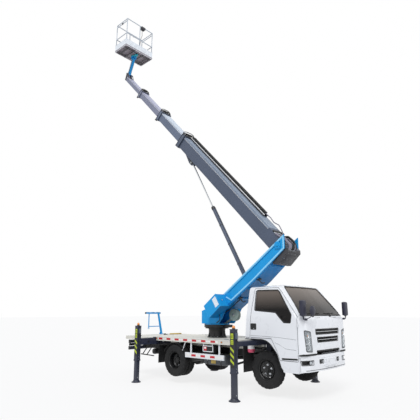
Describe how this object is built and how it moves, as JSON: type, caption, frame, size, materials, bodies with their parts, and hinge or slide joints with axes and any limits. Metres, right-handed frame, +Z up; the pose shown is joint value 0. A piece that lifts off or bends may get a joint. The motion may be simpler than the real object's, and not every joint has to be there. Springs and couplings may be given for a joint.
{
  "type": "cherry picker truck",
  "caption": "Light lorry with a telescopic boom on a raised slewing arm, a levelling basket and sliding outriggers, standing on its outrigger feet.",
  "frame": {"origin": "on the ground below the middle of the rear axle", "axes": "+X forward, +Y to the truck's left, +Z up"},
  "size_m": [8.05, 3.516, 12.787],
  "materials": {
    "arm_blue": "gloss sky blue paint",
    "basket_grey": "light grey paint",
    "boom_grey": "semi-gloss slate grey paint",
    "cab_white": "gloss white paint",
    "chassis_black": "satin black chassis paint",
    "deck_white": "semi-gloss off-white paint",
    "drum_grey": "grey-green paint",
    "glass_dark": "tinted clear glass",
    "hose_black": "matt black hose rubber",
    "lamp_clear": "clear lamp lens",
    "outrigger_slate": "semi-gloss dark slate paint",
    "rim_black": "gloss black wheel paint",
    "rod_chrome": "polished chrome",
    "seat_fabric": "woven grey cloth",
    "tank_silver": "brushed aluminium",
    "trim_black": "grained black plastic",
    "tyre_rubber": "matt black tyre rubber"
  },
  "bodies": {
    "chassis": {"chassis_frame": "chassis_black", "front_axle": "chassis_black", "rear_axle": "chassis_black", "leaf_springs": "chassis_black", "engine_block": "chassis_black", "propshaft": "chassis_black", "deck": "deck_white", "outrigger_boxes": "outrigger_slate", "side_guards": "deck_white", "rear_underrun": "chassis_black", "mudguards": "trim_black", "battery_box": "chassis_black", "tanks": "tank_silver", "boom_rest": "arm_blue", "slew_pedestal": "chassis_black", "cab_shell": "cab_white", "headlights": "lamp_clear", "grille": "trim_black", "cab_windows": "glass_dark", "seats": "seat_fabric", "dashboard": "trim_black", "front_bumper": "cab_white", "mirrors": "trim_black"},
    "beam_rear_left": {"outrigger_beam_rear_left": "outrigger_slate"},
    "leg_rear_left": {"outrigger_leg_rear_left": "outrigger_slate"},
    "beam_rear_right": {"outrigger_beam_rear_right": "outrigger_slate"},
    "leg_rear_right": {"outrigger_leg_rear_right": "outrigger_slate"},
    "beam_front_left": {"outrigger_beam_front_left": "outrigger_slate"},
    "leg_front_left": {"outrigger_leg_front_left": "outrigger_slate"},
    "beam_front_right": {"outrigger_beam_front_right": "outrigger_slate"},
    "leg_front_right": {"outrigger_leg_front_right": "outrigger_slate"},
    "knuckle_left": {"steering_knuckle_left": "chassis_black"},
    "wheel_front_left": {"tyre_front_left": "tyre_rubber", "rim_front_left": "rim_black"},
    "wheels_rear_left": {"tyres_rear_left": "tyre_rubber", "rim_rear_left": "rim_black"},
    "knuckle_right": {"steering_knuckle_right": "chassis_black"},
    "wheel_front_right": {"tyre_front_right": "tyre_rubber", "rim_front_right": "rim_black"},
    "wheels_rear_right": {"tyres_rear_right": "tyre_rubber", "rim_rear_right": "rim_black"},
    "turret": {"slew_ring": "chassis_black", "tower_arm": "arm_blue", "turret_control_box": "arm_blue", "hose_drum": "drum_grey"},
    "boom_base": {"boom_base": "boom_grey", "hose_carrier": "hose_black"},
    "boom_2": {"boom_section_2": "boom_grey"},
    "boom_3": {"boom_section_3": "boom_grey"},
    "boom_4": {"boom_section_4": "boom_grey"},
    "luffing_rod": {"luffing_rod": "rod_chrome"},
    "luffing_barrel": {"luffing_barrel": "boom_grey"},
    "basket_mount": {"basket_mount": "arm_blue"},
    "basket": {"basket_floor": "outrigger_slate", "basket_panels": "basket_grey", "basket_rails": "basket_grey"},
    "door_left": {"door_left": "cab_white", "door_glass_left": "glass_dark"},
    "door_right": {"door_right": "cab_white", "door_glass_right": "glass_dark"}
  },
  "joints": [
    {"name": "steer_left", "type": "hinge", "parent": "chassis", "child": "knuckle_left", "pos_m": [2.8, 0.61, 0.541], "axis": [0, 0, 1], "range_deg": [-33, 33]},
    {"name": "steer_right", "type": "hinge", "parent": "chassis", "child": "knuckle_right", "pos_m": [2.8, -0.61, 0.541], "axis": [0, 0, 1], "range_deg": [-33, 33]},
    {"name": "front_wheel_spin_left", "type": "hinge", "parent": "knuckle_left", "child": "wheel_front_left", "pos_m": [2.8, 0.74, 0.541], "axis": [0, 1, 0], "continuous": true},
    {"name": "rear_wheels_spin_left", "type": "hinge", "parent": "chassis", "child": "wheels_rear_left", "pos_m": [0, 0.842, 0.541], "axis": [0, 1, 0], "continuous": true},
    {"name": "front_wheel_spin_right", "type": "hinge", "parent": "knuckle_right", "child": "wheel_front_right", "pos_m": [2.8, -0.74, 0.541], "axis": [0, 1, 0], "continuous": true},
    {"name": "rear_wheels_spin_right", "type": "hinge", "parent": "chassis", "child": "wheels_rear_right", "pos_m": [0, -0.842, 0.541], "axis": [0, 1, 0], "continuous": true},
    {"name": "door_left_hinge", "type": "hinge", "parent": "chassis", "child": "door_left", "pos_m": [3.712, 0.994, 1.2], "axis": [0, 0, -1], "range_deg": [0, 68]},
    {"name": "door_right_hinge", "type": "hinge", "parent": "chassis", "child": "door_right", "pos_m": [3.712, -0.994, 1.2], "axis": [0, 0, 1], "range_deg": [0, 68]},
    {"name": "beam_slide_rear_left", "type": "slide", "parent": "chassis", "child": "beam_rear_left", "axis": [0, 1, 0], "range_m": [-0.5, 0]},
    {"name": "leg_slide_rear_left", "type": "slide", "parent": "beam_rear_left", "child": "leg_rear_left", "axis": [0, 0, 1], "range_m": [0, 0.33]},
    {"name": "beam_slide_rear_right", "type": "slide", "parent": "chassis", "child": "beam_rear_right", "axis": [0, -1, 0], "range_m": [-0.5, 0]},
    {"name": "leg_slide_rear_right", "type": "slide", "parent": "beam_rear_right", "child": "leg_rear_right", "axis": [0, 0, 1], "range_m": [0, 0.33]},
    {"name": "beam_slide_front_left", "type": "slide", "parent": "chassis", "child": "beam_front_left", "axis": [0, 1, 0], "range_m": [-0.5, 0]},
    {"name": "leg_slide_front_left", "type": "slide", "parent": "beam_front_left", "child": "leg_front_left", "axis": [0, 0, 1], "range_m": [0, 0.33]},
    {"name": "beam_slide_front_right", "type": "slide", "parent": "chassis", "child": "beam_front_right", "axis": [0, -1, 0], "range_m": [-0.5, 0]},
    {"name": "leg_slide_front_right", "type": "slide", "parent": "beam_front_right", "child": "leg_front_right", "axis": [0, 0, 1], "range_m": [0, 0.33]},
    {"name": "slew", "type": "hinge", "parent": "chassis", "child": "turret", "pos_m": [0.653, 0, 1.43], "axis": [0, 0, 1], "continuous": true},
    {"name": "luff", "type": "hinge", "parent": "turret", "child": "boom_base", "pos_m": [2.87, 0, 3.3], "axis": [0, 1, 0], "range_deg": [-61.5, 27.7]},
    {"name": "luffing_rod_tilt", "type": "hinge", "parent": "boom_base", "child": "luffing_rod", "pos_m": [-0.34083, 0, 6.25755], "axis": [0, 1, 0], "range_deg": [-8.15, 4.77]},
    {"name": "luffing_cylinder", "type": "slide", "parent": "luffing_rod", "child": "luffing_barrel", "axis": [0.4797, 0, -0.8775], "range_m": [-1.5664, 0.711]},
    {"name": "telescope_2", "type": "slide", "parent": "boom_base", "child": "boom_2", "axis": [-0.6782, 0, 0.7349], "range_m": [-1.5, 2]},
    {"name": "telescope_3", "type": "slide", "parent": "boom_2", "child": "boom_3", "axis": [-0.6782, 0, 0.7349], "range_m": [-1.505, 2.005]},
    {"name": "telescope_4", "type": "slide", "parent": "boom_3", "child": "boom_4", "axis": [-0.6782, 0, 0.7349], "range_m": [-1.505, 2.005]},
    {"name": "basket_level", "type": "hinge", "parent": "boom_4", "child": "basket_mount", "pos_m": [-3.93869, 0, 10.85546], "axis": [0, 1, 0], "range_deg": [-28.7, 62.5]},
    {"name": "basket_swing", "type": "hinge", "parent": "basket_mount", "child": "basket", "pos_m": [-3.69, 0, 11.58], "axis": [0, 0, 1], "range_deg": [-60, 60]}
  ],
  "couplings": [
    {"joint": "steer_right", "follows": "steer_left", "ratio": 1},
    {"joint": "luffing_rod_tilt", "follows": "luff", "ratio": 0.1},
    {"joint": "luffing_cylinder", "follows": "luff", "m_per_rad": 1.45},
    {"joint": "telescope_3", "follows": "telescope_2", "ratio": 1},
    {"joint": "telescope_4", "follows": "telescope_2", "ratio": 0.78},
    {"joint": "basket_level", "follows": "luff", "ratio": -1}
  ]
}
